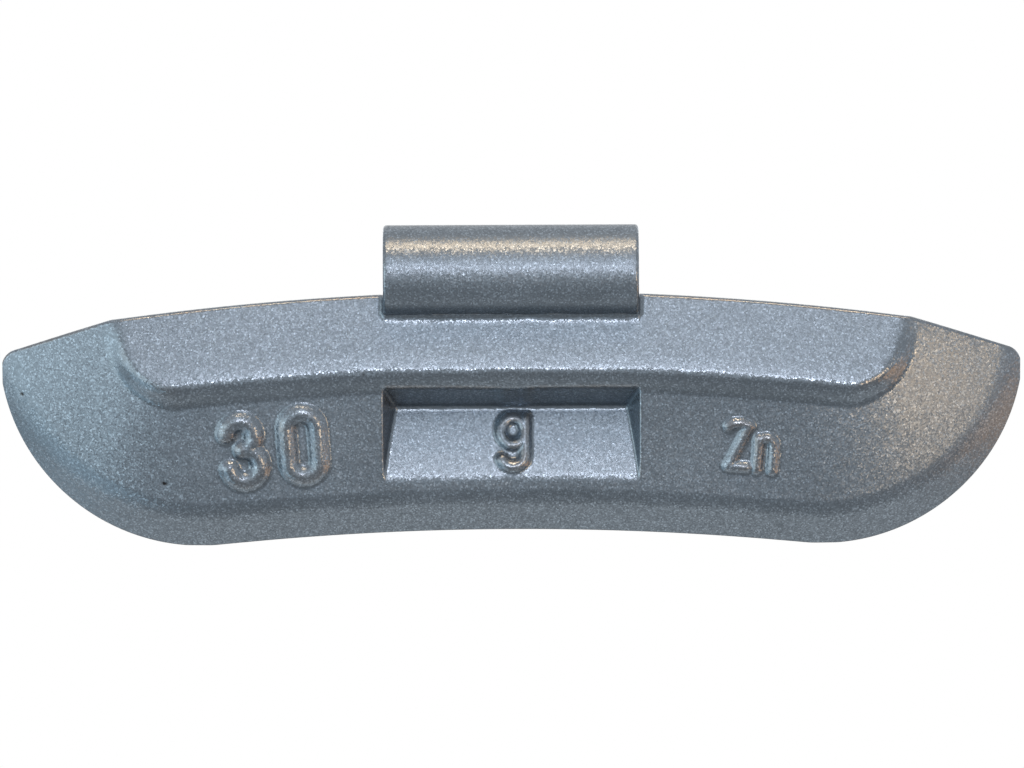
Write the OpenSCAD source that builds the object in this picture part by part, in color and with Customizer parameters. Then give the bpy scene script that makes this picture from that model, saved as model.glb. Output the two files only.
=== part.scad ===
// Knock-on wheel balance weight: a die-cast zinc body with a spring steel clip cast into it.
// Lengths are in millimetres and angles in degrees. X runs along the rim, Y along the wheel's
// axle towards the tyre, and Z outward from the wheel's centre. The origin is the axis of the
// clip's roll, at the middle of its width. The front of the weight faces -Y.

/* [Rim flange] */
// Bead seat diameter of the rim that the weight fits
rim_bead_d = 380.2; // [330:0.1:460]
// Height of the rim flange above the bead seat
flange_h = 17.3; // [14:0.1:20]
// Thickness of the flange, which the open clip spans
flange_t = 3; // [2:0.1:3.4]

/* [Cast body] */
// Length from tip to tip
body_length = 72; // [68:0.5:84]
// Height from the ridge to the lower edge, at mid length
body_height = 17.2; // [16:0.1:20]
// Drop from the roll's axis to the ridge
ridge_drop = 1.4; // [1.2:0.05:1.8]
// Distance from the roll's axis back to the seat on the flange
seat_back = 2.85; // [2.6:0.05:4]
// Radius of the arc that rounds each lower end
end_r = 14.1; // [13:0.1:16]
// Length of the straight run of the top edge at each tip
tip_run = 7.8; // [6.6:0.1:9]
// Fall of that run below the rim's arc
tip_fall = 10.8; // [0:0.1:16]
// Thickness of the casting at its tips
tip_t = 1.35; // [1.1:0.05:1.8]
// Radius of each tip's upper corner
tip_corner_r = 0.9; // [0.5:0.05:1.2]

/* [Front faces] */
// Height of the raised band, from the ridge to its crest
band_h = 5; // [4.2:0.05:5.4]
// Distance of the crest in front of the roll's axis
crest_front = 2.5; // [2.3:0.05:3]
// Upward tilt of the band
band_tilt = 20; // [14:0.5:24]
// Step from the crest back to the lower face
band_step = 0.65; // [0.4:0.05:1]
// Width of the slope below the crest
riser_w = 2.1; // [1.4:0.05:2.4]
// Width of the slope at the band's ends
riser_end_w = 1.1; // [0.7:0.05:1.4]
// Distance of the band's ends from mid length, at the ridge
band_half = 27.6; // [26:0.1:29]
// Slant of the band's ends from upright
band_slant = 17; // [8:0.5:26]
// Radius of the band's lower corners
band_corner_r = 2.6; // [1.8:0.1:3.4]
// Downward tilt of the lower face
face_tilt = 6; // [3:0.5:9]
// Sideways tilt of the end facets
facet_yaw = 16.2; // [14:0.1:18]
// Upward tilt of the end facets
facet_tilt = 1.7; // [0:0.1:3]
// Downward tilt of the drafted lower edge
edge_tilt = 42; // [36:0.5:48]
// Width of the parting edge at mid length
land_t = 1.6; // [1.2:0.05:1.9]
// Width of the parting edge at the tips
land_tip_t = 0.85; // [0.5:0.05:1]

/* [Pocket] */
// Width of the pocket at its mouth
pocket_w = 18.1; // [12:0.1:22]
// Width of the pocket's floor at its deep end
pocket_floor_w = 15.9; // [10:0.1:18]
// Gap from the crest down to the pocket
pocket_gap = 1.5; // [1.2:0.05:2]
// Height of the pocket's mouth
pocket_h = 6.5; // [5:0.1:7]
// Depth of the floor's upper end below the lower face
pocket_depth = 2.2; // [1.4:0.05:2.3]
// Height of the sloping upper wall
pocket_wall_h = 1.8; // [1:0.05:2.4]

/* [Spring clip] */
// Width of the strip, along the rim
clip_w = 18; // [12:0.5:22]
// Thickness of the strip
clip_t = 1.2; // [1:0.05:1.3]
// Outer radius of the roll
roll_r = 3.25; // [3.05:0.05:3.4]
// Mean radius of the bend below the roll
neck_r = 1.3; // [1.1:0.05:1.5]
// Length of the straight leg inside the casting
leg_l = 3.4; // [2:0.1:3.8]
// Angle at which the strip leaves the roll, above level
roll_exit = 66; // [60:1:75]
// Inner radius of the bend behind the flange
hook_r = 2.2; // [1.6:0.1:3]
// Gap between the open clip and the seat, as a share of the flange
grip_share = 0.8; // [0.6:0.05:0.95]
// Length of the tongue behind the flange
tongue_l = 4.6; // [3:0.1:6]
// Inward lean of the tongue
tongue_lean = 10; // [4:1:16]
// Radius of the lead-in at the tongue's end
lead_r = 1.6; // [1.2:0.1:2.4]
// Turn of the lead-in
lead_turn = 38; // [20:1:50]

/* [Hidden] */
$fn = 96;

lip_r = rim_bead_d / 2 + flange_h;
half_l = body_length / 2;
ridge_z = -ridge_drop;
crest_z = ridge_z - band_h;
foot_z = ridge_z - body_height;

// Steps between the stations of the skin, on one half of the body
PAD_STEPS = 5;
SPAN_STEPS = 7;
CORNER_STEPS = 12;
END_STEPS = 9;
FACET_STEPS = 7;
TIP_STEPS = 8;
TOP_STEPS = 6;
// Least height between two rows of the skin
ROW_GAP = 0.012;
// Where each end arc stops short of level, and how far each tip's corner turns
TIP_ANGLE = 10.4;
CORNER_TURN = 70;
// Radius along the ridge, and chamfer round the seat
RIDGE_R = 0.35;
SEAT_CHAMFER = 0.25;
// Blends where the lower face meets an end facet and the drafted edge
FACET_BLEND = 0.75;
EDGE_BLEND = 0.3;

// Depth of the rim's arc below its crown
function sag(x) = lip_r - sqrt(lip_r * lip_r - x * x);
function smooth_step(t) = let (u = max(0, min(1, t))) u * u * (3 - 2 * u);
// The larger of two values, with a round join where they are closer than k
function soft_max(a, b, k) = max(a, b) + pow(max(0, k - abs(a - b)), 2) / (4 * k);
function mix(a, b, t) = a + (b - a) * t;
function spread(a, b, n) = [for (i = [0 : n - 1]) mix(a, b, i / n)];
function crowd(a, b, n) = [for (i = [0 : n - 1]) mix(a, b, sin(90 * i / n))];

// Outline of the casting, seen from the front
end_x = half_l - end_r * cos(TIP_ANGLE);
end_join_x = end_x / (1 + end_r / lip_r);
end_z = foot_z - sag(end_join_x) + end_r * cos(asin(end_join_x / lip_r));
corner_x = half_l - tip_corner_r * sin(CORNER_TURN);

function corner_drop(x) =
    let (u = max(0, abs(x) - corner_x)) tip_corner_r - sqrt(tip_corner_r * tip_corner_r - u * u);
function top_z(x) =
    ridge_z - sag(x) - max(0, abs(x) - half_l + tip_run) * tan(tip_fall) - corner_drop(x);
function low_z(x) =
    abs(x) < end_join_x
    ? foot_z - sag(x)
    : end_z - sqrt(max(0, end_r * end_r - pow(abs(x) - end_x, 2)));
// Distance in from the lower and end outline
function inset(x, z) =
    abs(x) < end_join_x
    ? (z - low_z(x)) * cos(asin(x / lip_r))
    : end_r - norm([abs(x) - end_x, z - end_z]);

// Outline of the raised band: a level middle under the clip, arcs beside it, round corners
// and slanted ends. Its distance field is negative on the band and grows outwards.
band_pad = pocket_w / 2 + 0.25;
function crest_line(x) = crest_z - sag(max(abs(x), band_pad)) + sag(band_pad);
band_end_z = ridge_z - sag(band_half);
band_x = band_half - band_corner_r * cos(band_slant)
    - (band_end_z - crest_line(band_half) - band_corner_r * (1 - sin(band_slant))) * tan(band_slant);
band_z = crest_line(band_x) + band_corner_r;
end_gain = riser_w / riser_end_w;
function gain(a) = mix(1, end_gain, (90 - a) / (90 - band_slant));
function band_distance(x, z) =
    let (u = abs(x) - band_x, v = band_z - z, a = atan2(v, max(u, 0.0001)))
    u <= 0 ? crest_line(x) - z
    : a > band_slant ? (norm([u, v]) - band_corner_r) * gain(a)
    : (u * cos(band_slant) + v * sin(band_slant) - band_corner_r) * end_gain;
// Height of the line that lies at distance d from the crest
function band_row(x, d) =
    let (u = abs(x) - band_x)
    u <= 0 ? crest_line(x) - d
    : let (a = acos(min(1, u / (band_corner_r + d / mix(1, end_gain, 0.4)))),
           r = band_corner_r + d / gain(max(a, band_slant)),
           v = sqrt(max(0, r * r - u * u)))
      v > u * tan(band_slant)
      ? band_z - v
      : band_z - (band_corner_r + d / end_gain - u * cos(band_slant)) / sin(band_slant);

// Front surface, as the distance Y at each place X, Z
function band_y(x, z) = -crest_front + (z - crest_z + sag(x)) * tan(band_tilt);
function face_y(x, z) = band_step - crest_front - (z - crest_z + sag(x)) * tan(face_tilt);
tip_z = ridge_z - sag(half_l) - tip_run * tan(tip_fall);
function facet_y(x, z) =
    seat_back - tip_t - (half_l - abs(x)) * tan(facet_yaw) + (z - tip_z) * tan(facet_tilt);
function land(x) = mix(land_t, land_tip_t, smooth_step((abs(x) - half_l / 2) / (half_l / 2)));
function edge_y(x, z) = seat_back - land(x) - inset(x, z) * tan(edge_tilt);
function ridge_round(x, z) =
    let (u = RIDGE_R - min(RIDGE_R, top_z(x) - z))
    RIDGE_R - sqrt(RIDGE_R * RIDGE_R - u * u);
function front_y(x, z) =
    let (raised = 1 - smooth_step(band_distance(x, z) / riser_w),
         lower = soft_max(face_y(x, z), facet_y(x, z), FACET_BLEND),
         face = mix(lower, band_y(x, z), raised))
    min(soft_max(face, edge_y(x, z), EDGE_BLEND) + ridge_round(x, z), seat_back - land(x));

// Rows of one section, from the ridge down to the parting edge
band_rows = [-1.6, -0.5, 0, 0.3, 0.65, 1.05, 1.45, 1.8, riser_w];
edge_rows = [0.6, 0.15, -0.25];
MID_ROWS = 3;
function edge_depth(x) =
    let (z = low_z(x) + 2) max(0.2, (edge_y(x, z) + inset(x, z) * tan(edge_tilt)
        - soft_max(face_y(x, z), facet_y(x, z), FACET_BLEND)) / tan(edge_tilt));
// Height of the line that lies at distance d in from the outline
function edge_row(x, d) =
    abs(x) < end_join_x ? low_z(x) + d
    : let (q = pow(end_r - d, 2) - pow(abs(x) - end_x, 2))
      q > 0 ? end_z - sqrt(q) : end_z;
function wanted_rows(x) =
    let (w = edge_depth(x), low = band_row(x, riser_w), high = edge_row(x, w + edge_rows[0]))
    concat(
        [top_z(x), top_z(x) - RIDGE_R * 0.3, top_z(x) - RIDGE_R],
        [for (d = band_rows) band_row(x, d)],
        [for (i = [1 : MID_ROWS]) mix(min(low, top_z(x)), high, i / (MID_ROWS + 1))],
        [for (d = edge_rows) edge_row(x, w + d)],
        [edge_row(x, w / 2), low_z(x)]
    );
function rows(x) =
    let (want = wanted_rows(x), last = len(want) - 1, low = low_z(x))
    [for (i = 0, z = want[0]; i <= last;
          i = i + 1, z = max(low + ROW_GAP * (last - i), min(z - ROW_GAP, want[min(i, last)]))) z];

// One closed section: down the front, across the parting edge, up the seat and over the
// round that lies under the flange's lip
function section(x) =
    let (z = rows(x), low = low_z(x), top = top_z(x), lead_y = front_y(x, top),
         chamfer = min(SEAT_CHAMFER, (top - low) / 5),
         r = min(seat_back - lead_y, (top - low) / 2))
    concat(
        [for (h = z) [x, front_y(x, h), h]],
        [[x, seat_back - chamfer, low], [x, seat_back, low + chamfer]],
        [for (i = [0 : TOP_STEPS - 1])
            let (a = 90 * i / TOP_STEPS)
            [x, mix(lead_y, seat_back, cos(a)), top - r + r * sin(a)]]
    );

half_stations = concat(
    spread(0, band_pad, PAD_STEPS),
    spread(band_pad, band_x - 1, SPAN_STEPS),
    spread(band_x - 1, band_x + band_corner_r * 0.95, CORNER_STEPS),
    spread(band_x + band_corner_r * 0.95, band_half + riser_end_w * 1.6, END_STEPS),
    spread(band_half + riser_end_w * 1.6, half_l - 2.5, FACET_STEPS),
    crowd(half_l - 2.5, half_l, TIP_STEPS),
    [half_l]
);
stations = concat(
    [for (i = [len(half_stations) - 1 : -1 : 1]) -half_stations[i]],
    half_stations
);

function middle(points) = [for (k = [0 : 2]) (min([for (p = points) p[k]]) + max([for (p = points) p[k]])) / 2];

// Closed skin through sections that all have as many points, with a fan at each end
module loft(sections) {
    n = len(sections[0]);
    last = len(sections) - 1;
    hub = n * (last + 1);
    polyhedron(
        points = concat([for (s = sections) each s], [middle(sections[0]), middle(sections[last])]),
        faces = concat(
            [for (j = [0 : n - 1]) [hub, j, (j + 1) % n]],
            [for (i = [0 : last - 1], j = [0 : n - 1])
                let (a = i * n + j, b = i * n + (j + 1) % n) each [[a, a + n, b], [b, a + n, b + n]]],
            [for (j = [0 : n - 1]) [hub + 1, last * n + (j + 1) % n, last * n + j]]
        ),
        convexity = 6
    );
}

module skin() {
    loft([for (x = stations) section(x)]);
}

// Wedge that cuts the pocket: it runs out on the lower face at its lower end
module pocket_wedge() {
    mouth_top = crest_z - pocket_gap;
    mouth_low = mouth_top - pocket_h;
    deep_z = mouth_top - pocket_wall_h;
    deep_y = face_y(0, deep_z) + pocket_depth;
    deep = [pocket_floor_w / 2, deep_y, deep_z];
    mouth = [pocket_w / 2, face_y(0, mouth_top), mouth_top];
    out = (mouth - deep) * 2;
    run_out = [pocket_w / 2, face_y(0, mouth_low), mouth_low];
    beyond = run_out + (run_out - deep) * 0.15;
    right = [deep, beyond, beyond + out, deep + out];
    left = [for (p = right) [-p[0], p[1], p[2]]];
    polyhedron(
        points = concat(left, right),
        faces = [[3, 2, 1, 0], [4, 5, 6, 7], [1, 5, 4, 0], [2, 6, 5, 1], [3, 7, 6, 2], [0, 4, 7, 3]]
    );
}

// Centre line of the bent strip, with the axle's direction as X and the wheel's radius as Y.
// It starts at the foot of the leg. A move is a straight length with no turn, or the mean
// radius of a bend with its turn, which is positive to the left.
roll_mean_r = roll_r - clip_t / 2;
roll_in_r = roll_r - clip_t;
BEND_STEP = 6;
REAM = 0.02;
over_dir = roll_exit - 90;
tongue_dir = -90 - tongue_lean;
leg_foot = [[neck_r, -roll_mean_r - neck_r - leg_l], 90];
hook_mean_r = hook_r + clip_t / 2;
lead_mean_r = lead_r + clip_t / 2;
// The straight stretch over the flange is as long as the open clip's grip needs
grip_y = seat_back + flange_t * grip_share;
hook_reach = hook_mean_r * (sin(over_dir) + cos(tongue_lean));
tongue_reach = tongue_l * sin(tongue_lean) + lead_mean_r * (1 - cos(tongue_lean)) + clip_t / 2;
over_l = (grip_y + tongue_reach - hook_reach - roll_mean_r * cos(roll_exit)) / cos(over_dir);
moves = [
    [leg_l, 0],
    [neck_r, 90],
    [roll_mean_r, over_dir - 180],
    [over_l, 0],
    [hook_mean_r, tongue_dir - over_dir],
    [tongue_l, 0],
    [lead_mean_r, lead_turn]
];

function polar(r, a) = [r * cos(a), r * sin(a)];
function bend(from, r, turn) =
    let (side = sign(turn), centre = from[0] + polar(r, from[1] + 90 * side),
         steps = ceil(abs(turn) / BEND_STEP))
    [for (i = [1 : steps]) let (a = from[1] + turn * i / steps) [centre + polar(r, a - 90 * side), a]];
function travel(from, move) =
    move[1] == 0 ? [[from[0] + polar(move[0], from[1]), from[1]]] : bend(from, move[0], move[1]);
function walk(path, i = 0) =
    i == len(moves) ? path : walk(concat(path, travel(path[len(path) - 1], moves[i])), i + 1);

// Extrudes a profile along X, centred on the origin
module across(width) {
    rotate([90, 0, 90]) linear_extrude(height = width, center = true) children();
}

// The strip is drawn a little thick inside its roll, which is then reamed to a true bore
module strip() {
    path = walk([leg_foot]);
    function extra(p) = norm(p[0]) < roll_mean_r + 0.001 ? REAM : 0;
    across(clip_w) difference() {
        polygon(concat(
            [for (p = path) p[0] + polar(clip_t / 2, p[1] + 90)],
            [for (i = [len(path) - 1 : -1 : 0])
                let (p = path[i]) p[0] + polar(clip_t / 2 + extra(p), p[1] - 90)]
        ));
        circle(roll_in_r);
    }
}

module weight_body() {
    color("slategray") difference() {
        skin();
        pocket_wedge();
        across(clip_w) circle(roll_r);
        strip();
    }
}

module spring_clip() {
    color("lightsteelblue") strip();
}

weight_body();
spring_clip();
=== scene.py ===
from math import asin, ceil, cos, pi, radians, sin, tan

import bpy
import numpy as np
from bpy.props import FloatProperty, FloatVectorProperty, PointerProperty
from mathutils import Matrix, Vector


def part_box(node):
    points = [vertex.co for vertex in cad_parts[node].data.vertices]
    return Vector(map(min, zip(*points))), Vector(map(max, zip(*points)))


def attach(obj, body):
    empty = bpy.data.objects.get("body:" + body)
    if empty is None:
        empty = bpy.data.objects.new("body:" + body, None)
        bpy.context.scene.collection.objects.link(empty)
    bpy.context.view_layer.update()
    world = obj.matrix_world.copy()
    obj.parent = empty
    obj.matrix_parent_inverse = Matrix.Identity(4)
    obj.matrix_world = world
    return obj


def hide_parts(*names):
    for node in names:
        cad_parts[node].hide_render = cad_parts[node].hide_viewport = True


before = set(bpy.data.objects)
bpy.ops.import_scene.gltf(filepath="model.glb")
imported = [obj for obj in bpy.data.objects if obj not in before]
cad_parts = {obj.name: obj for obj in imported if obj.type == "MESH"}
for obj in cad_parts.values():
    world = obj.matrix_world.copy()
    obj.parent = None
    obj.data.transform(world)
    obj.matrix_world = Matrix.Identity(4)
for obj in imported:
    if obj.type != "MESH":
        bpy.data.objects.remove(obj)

bl_info = {
    "name": "Wheel balance weight",
    "version": (1, 0, 0),
    "blender": (4, 5, 0),
    "location": "3D View > Sidebar > Weight",
    "description": "A coated zinc casting with raised figures and a bent spring clip",
    "category": "Add Mesh",
}

# Shapes are worked out in millimetres and go into the meshes in metres. X runs along the rim,
# Y along the axle towards the tyre and Z outward. The front faces -Y.
MM = 0.001


# Sizes and colours

def length(name, text, mm):
    """A length property, given in millimetres."""
    return FloatProperty(name=name, description=text, default=mm * MM, unit="LENGTH", precision=6)


def angle(name, text, degrees):
    """An angle property, given in degrees."""
    return FloatProperty(name=name, description=text, default=radians(degrees), unit="ROTATION")


def share(name, text, value):
    """A property between 0 and 1."""
    return FloatProperty(name=name, description=text, default=value, subtype="FACTOR")


def tint(name, text, rgb):
    """A colour property."""
    return FloatVectorProperty(name=name, description=text, default=rgb, size=3, subtype="COLOR")


class CastingSizes(bpy.types.PropertyGroup):
    """Sizes of the die-cast body"""

    lip_r: length("Rim radius", "Radius of the rim flange's edge, which the top follows", 207.4)
    body_length: length("Length", "From tip to tip", 72)
    body_height: length("Height", "From the ridge to the lower edge at mid length", 17.2)
    ridge_drop: length("Ridge drop", "From the roll's axis down to the ridge", 1.4)
    seat_back: length("Seat", "From the roll's axis back to the seat on the flange", 2.85)
    end_r: length("End radius", "Radius of the arc that rounds each lower end", 14.1)
    tip_run: length("Tip run", "Straight run of the top edge at each tip", 7.8)
    tip_fall: angle("Tip fall", "Fall of that run below the rim's arc", 10.8)
    tip_t: length("Tip thickness", "Thickness of the casting at its tips", 1.35)
    tip_corner_r: length("Tip corner", "Radius of each tip's upper corner", 0.9)
    band_h: length("Band height", "From the ridge to the band's crest", 5)
    crest_front: length("Crest front", "Distance of the crest in front of the roll's axis", 2.5)
    band_tilt: angle("Band tilt", "Upward tilt of the raised band", 20)
    band_step: length("Band step", "Step from the crest back to the lower face", 0.52)
    riser_w: length("Slope width", "Width of the slope below the crest", 2.1)
    riser_end_w: length("End slope width", "Width of the slope at the band's ends", 1.5)
    band_half: length("Band half length", "From mid length to the band's ends", 27.85)
    band_slant: angle("Band slant", "Slant of the band's ends", 17)
    band_corner_r: length("Band corner", "Radius of the band's lower corners", 3.3)
    face_tilt: angle("Face tilt", "Downward tilt of the lower face", 6)
    facet_yaw: angle("Facet yaw", "Sideways tilt of the end facets", 16.2)
    facet_tilt: angle("Facet tilt", "Upward tilt of the end facets", 1.7)
    edge_tilt: angle("Edge tilt", "Downward tilt of the drafted lower edge", 41)
    land_t: length("Parting edge", "Width of the parting edge at mid length", 1.56)
    land_tip_t: length("Parting edge at the tips", "Its width at the tips", 0.55)
    pocket_w: length("Pocket width", "Width of the pocket at its mouth", 18.1)
    pocket_floor_w: length("Pocket floor", "Width of its floor at the deep end", 16.4)
    pocket_gap: length("Pocket gap", "From the crest down to the pocket", 1.7)
    pocket_h: length("Pocket height", "Height of the pocket's mouth", 6.5)
    pocket_depth: length("Pocket depth", "Depth of the floor's upper end", 2.2)
    pocket_wall_h: length("Pocket wall", "Height of the sloping upper wall", 1.6)
    collar: length("Collar", "Metal drawn up round the clip where it was cast in", 0.42)
    collar_r: length("Collar radius", "Radius at which the hollow round below the roll starts", 1.6)
    mass_relief: length("Mass relief", "Height of the raised mass figures", 0.46)
    mark_relief: length("Mark relief", "Height of the raised material mark", 0.3)
    unit_relief: length("Unit relief", "Height of the raised unit letter in the pocket", 0.42)


class ClipSizes(bpy.types.PropertyGroup):
    """Sizes of the bent spring strip"""

    clip_w: length("Width", "Width of the strip along the rim", 18)
    clip_t: length("Thickness", "Thickness of the strip", 1.2)
    roll_r: length("Roll", "Outer radius of the roll", 3.25)
    neck_r: length("Neck", "Mean radius of the bend below the roll", 1.3)
    leg_l: length("Leg", "Straight leg inside the casting", 3.4)
    roll_exit: angle("Roll exit", "Angle at which the strip leaves the roll", 66)
    hook_r: length("Hook", "Inner radius of the bend behind the flange", 2.2)
    grip: length("Open gap", "Gap between the tongue and the seat", 2.4)
    tongue_l: length("Tongue", "Length of the tongue behind the flange", 4.6)
    tongue_lean: angle("Tongue lean", "Inward lean of the tongue", 10)
    lead_r: length("Lead-in", "Radius of the lead-in at the tongue's end", 1.6)
    lead_turn: angle("Lead-in turn", "Turn of the lead-in", 38)
    edge_r: length("Edge radius", "Radius of the strip's coated edges", 0.24)


class CoatColours(bpy.types.PropertyGroup):
    """Colours and finish of the coating"""

    paint: tint("Coating", "Silver grey metallic coating", (0.160, 0.207, 0.260))
    # The brownish tone is partly thin coating on the edges and partly a painted warm sheen; the recess
    # tone is painted shade
    worn_and_sheen: tint("Thin coating", "Brownish tone where it is thin on an edge", (0.24, 0.205, 0.17))
    deep: tint("Recess", "Darker tone in the recesses", (0.102, 0.13, 0.16))
    metal: share("Metal", "How metallic the coating is", 0.7)
    gloss: share("Roughness", "Roughness of the coating", 0.34)
    flake: length("Flake", "Size of the coating's flakes", 0.105)


def plain_sizes(group):
    """The group's values by name: lengths in millimetres, angles in radians."""
    found = {}
    for prop in group.bl_rna.properties:
        if getattr(prop, "unit", "NONE") in {"LENGTH", "ROTATION"}:
            value = getattr(group, prop.identifier)
            found[prop.identifier] = round(value / MM, 4) if prop.unit == "LENGTH" else value
    return found


# Smaller values that go with those sizes, in millimetres and radians

# Where each tip's arc ends above the level, and how far the tip's upper corner turns
TIP_ANGLE = radians(10.4)
CORNER_TURN = radians(70)
# The round of the ridge, the height of the chamfer at the foot of the seat, and its width as a
# share of that
RIDGE_R = 0.17
SEAT_CHAMFER = 0.25
CHAMFER_WIDTH = 0.999
# Stretches over which two faces run into each other
FACET_BLEND = 1.0
EDGE_BLEND = 0.55
FLOOR_BLEND = 0.55
SIDE_BLEND = 0.45
FOOT_BLEND = 0.15
MOUTH_BLEND = 0.14
# The pocket's floor: its swell half way down, its dip at the deep end and how soon that fades
FLOOR_SWELL = 0.1
FLOOR_DIP = 0.1
FLOOR_DIP_RUN = 0.6
# The crest's round, its radius, and how far out from the crest the slope starts
CREST_ROUND = 0.9
CREST_R = 9.4
CREST_SHIFT = 0.12
# The end facets' dome: its radii along X and Z, and the place of its top
FACET_DOME_RX = 65
FACET_DOME_RZ = 50
FACET_TOP = (30.0, -7.0)
# How far the crest stays level beyond the pocket
PAD_MARGIN = 0.25
# The collar: how far below the roll it starts, and how fast its hollow tightens
COLLAR_START = 0.34
COLLAR_TIGHTENING = 0.6
# Unevenness of the faces and of the collar's lower line: height, length and seed of each ripple
FACE_WAVES = ((0.012, 9.0, 1), (0.005, 2.6, 2))
COLLAR_WAVES = ((0.09, 3.1, 3), (0.04, 0.9, 5))
# Pits that the die left: place along X and Z, radius and depth
PITS = ((-34.6, -8.8, 0.16, 0.07), (-24.5, -14.9, 0.16, 0.07), (-10.35, -7.0, 0.2, 0.05))

# Grid of the casting's skin: zones along X and down from the top edge, as (from, to, spacing)
ALONG = (
    (-21.4, -12.6, 0.1), (-1.9, 1.9, 0.11), (14.6, 19.4, 0.095),
    (-9.35, -8.8, 0.07), (8.8, 9.35, 0.07), (-36, -35.2, 0.09), (35.2, 36, 0.09),
    (-28.6, -24.6, 0.15), (24.6, 28.6, 0.15), (-8.4, -7.6, 0.13), (7.6, 8.4, 0.13),
)
DOWN = (
    (0, 0.35, 0.07), (1.1, 2.4, 0.095), (4.5, 7.0, 0.12), (8.0, 8.9, 0.1),
    (8.9, 13.8, 0.115), (14.4, 15.3, 0.12), (17.0, 17.2, 0.08),
)
ALONG_BASE = 0.22
DOWN_BASE = 0.24
# Rows of the skin behind: shares of the way up the seat, and the number over the flange's round
SEAT_ROWS = (0.015, 0.2, 0.4, 0.6, 0.8, 0.985)
ROUND_ROWS = 10

# Grid of the strip: spacing along its path, steps across its width and round a corner, and rows
# over the round of each cut end
STRIP_SPACING = 0.2
STRIP_STEPS = 60
CORNER_STEPS = 5
END_ROWS = 5

# The edge attribute, which sets the brownish edge tone (partly thin coating, partly a painted
# warm sheen), the painted shade in recesses and pits, and smoother bends: the curvature that
# counts as a tight edge, the depth of a pit that lowers it by 1, the value on the strip's rounded
# edges, and the share of their radius that has it
TIGHT_CURVATURE = 2.2
PIT_UNIT = 0.03
STRIP_EDGE = 0.8
STRIP_EDGE_SHARE = 0.9
# Edges that turn by more than this are shaded sharp
SHARP_TURN = radians(50)


# Curves and blends

def smooth_step(t):
    """Three u squared less two u cubed, where u is t kept between 0 and 1."""
    u = np.clip(t, 0, 1)
    return u * u * (3 - 2 * u)


def smooth_max(a, b, k):
    """The larger of a and b, with a round join where they are closer than k."""
    return np.maximum(a, b) + np.maximum(0, k - np.abs(a - b)) ** 2 / (4 * k)


def smooth_min(a, b, k):
    """The smaller of a and b, with the same round join."""
    return -smooth_max(-a, -b, k)


def mix(a, b, t):
    """From a at t = 0 to b at t = 1, in proportion."""
    return a + (b - a) * t


def places(start, stop, base, zones):
    """Places from start to stop. Their spacing is base, and in a zone (from, to, spacing) it is
    that of the zone, widening again at a fixed rate outside it. The places lie at equal steps of
    the integral of 1 / spacing."""
    widening, samples = 0.12, 40001
    t = np.linspace(start, stop, samples)
    spacing = np.full_like(t, base)
    for low, high, step in zones:
        away = np.maximum(0, np.maximum(low - t, t - high))
        spacing = np.minimum(spacing, step + widening * away)
    travelled = np.concatenate([[0], np.cumsum(np.diff(t) / (spacing[1:] + spacing[:-1]) * 2)])
    count = int(ceil(travelled[-1]))
    return np.interp(np.linspace(0, travelled[-1], count + 1), travelled, t)


def ripple(x, z, scale, seed):
    """Gentle unevenness between -1 and 1: a mean of six plane waves whose directions are spread
    by the golden angle and whose lengths lie round scale."""
    waves, golden_angle, shortest, growth, phase = 6, 2.39996, 0.7, 0.13, 1.7
    total = 0
    for k in range(waves):
        turn = golden_angle * (k + seed)
        wave = 2 * pi / (scale * (shortest + growth * k))
        total = total + np.sin(wave * (x * cos(turn) + z * sin(turn)) + phase * k * seed)
    return total / waves


def rippled(value, x, z, waves):
    """The value and the ripples on it that waves lists by height, length and seed."""
    for height, scale, seed in waves:
        value = value + height * ripple(x, z, scale, seed)
    return value


# Raised figures: the line that each follows, about its centre, in millimetres

def arc(cx, cz, rx, rz, start, stop, steps=16):
    """Points on an ellipse about (cx, cz) from one angle to another, in degrees."""
    a = np.radians(np.linspace(start, stop, steps + 1))
    return np.stack([cx + rx * np.cos(a), cz + rz * np.sin(a)], axis=1)


def joined(*parts):
    """One line through single points and stretches of points, in order."""
    return np.concatenate([np.atleast_2d(np.array(part, float)) for part in parts])


def three():
    """Two bowls, open to the left."""
    return joined(arc(-0.08, 1.12, 0.98, 1.04, 170, -84), arc(0.06, -1.06, 1.1, 1.14, 86, -172))


def nought():
    """Two half rings and the straight sides between them."""
    return joined(arc(0, 1.17, 1.1, 1.1, 0, 180), arc(0, -1.17, 1.1, 1.1, 180, 360), (1.1, 1.17))


def unit_letter():
    """A bowl, a stem and a tail that hooks to the left."""
    bowl = arc(0, 0.66, 0.86, 0.92, 0, 360)
    return joined(bowl, (0.86, 1.5), (0.86, -0.95), arc(0, -0.95, 0.86, 0.78, 0, -155))


def capital():
    """A bent bar, a slant and a straight foot."""
    return joined((-0.76, 1.3), (-0.42, 1.52), (0.1, 1.6), (0.66, 1.42), (-0.62, -1.58), (0.72, -1.58))


def small():
    """A stem and an arch."""
    arch = arc(0, 0.6, 0.52, 0.56, 170, 0, 10)
    return joined((-0.55, -1.15), (-0.56, 1.05), (-0.53, 0.62), arch, (0.56, -1.15))


# Each figure: its line, its place along X, the height of its centre on a level rim, the
# distance of its foot from its line, and which relief it takes
FIGURES = (
    (three, -18.97, -11.7, 0.74, "mass_relief"),
    (nought, -14.72, -11.62, 0.74, "mass_relief"),
    (unit_letter, 0.1, -12.0, 0.5, "unit_relief"),
    (capital, 15.98, -11.64, 0.43, "mark_relief"),
    (small, 17.9, -12.15, 0.43, "mark_relief"),
)
# No figure reaches further from its centre
FIGURE_REACH = 4.6


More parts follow.
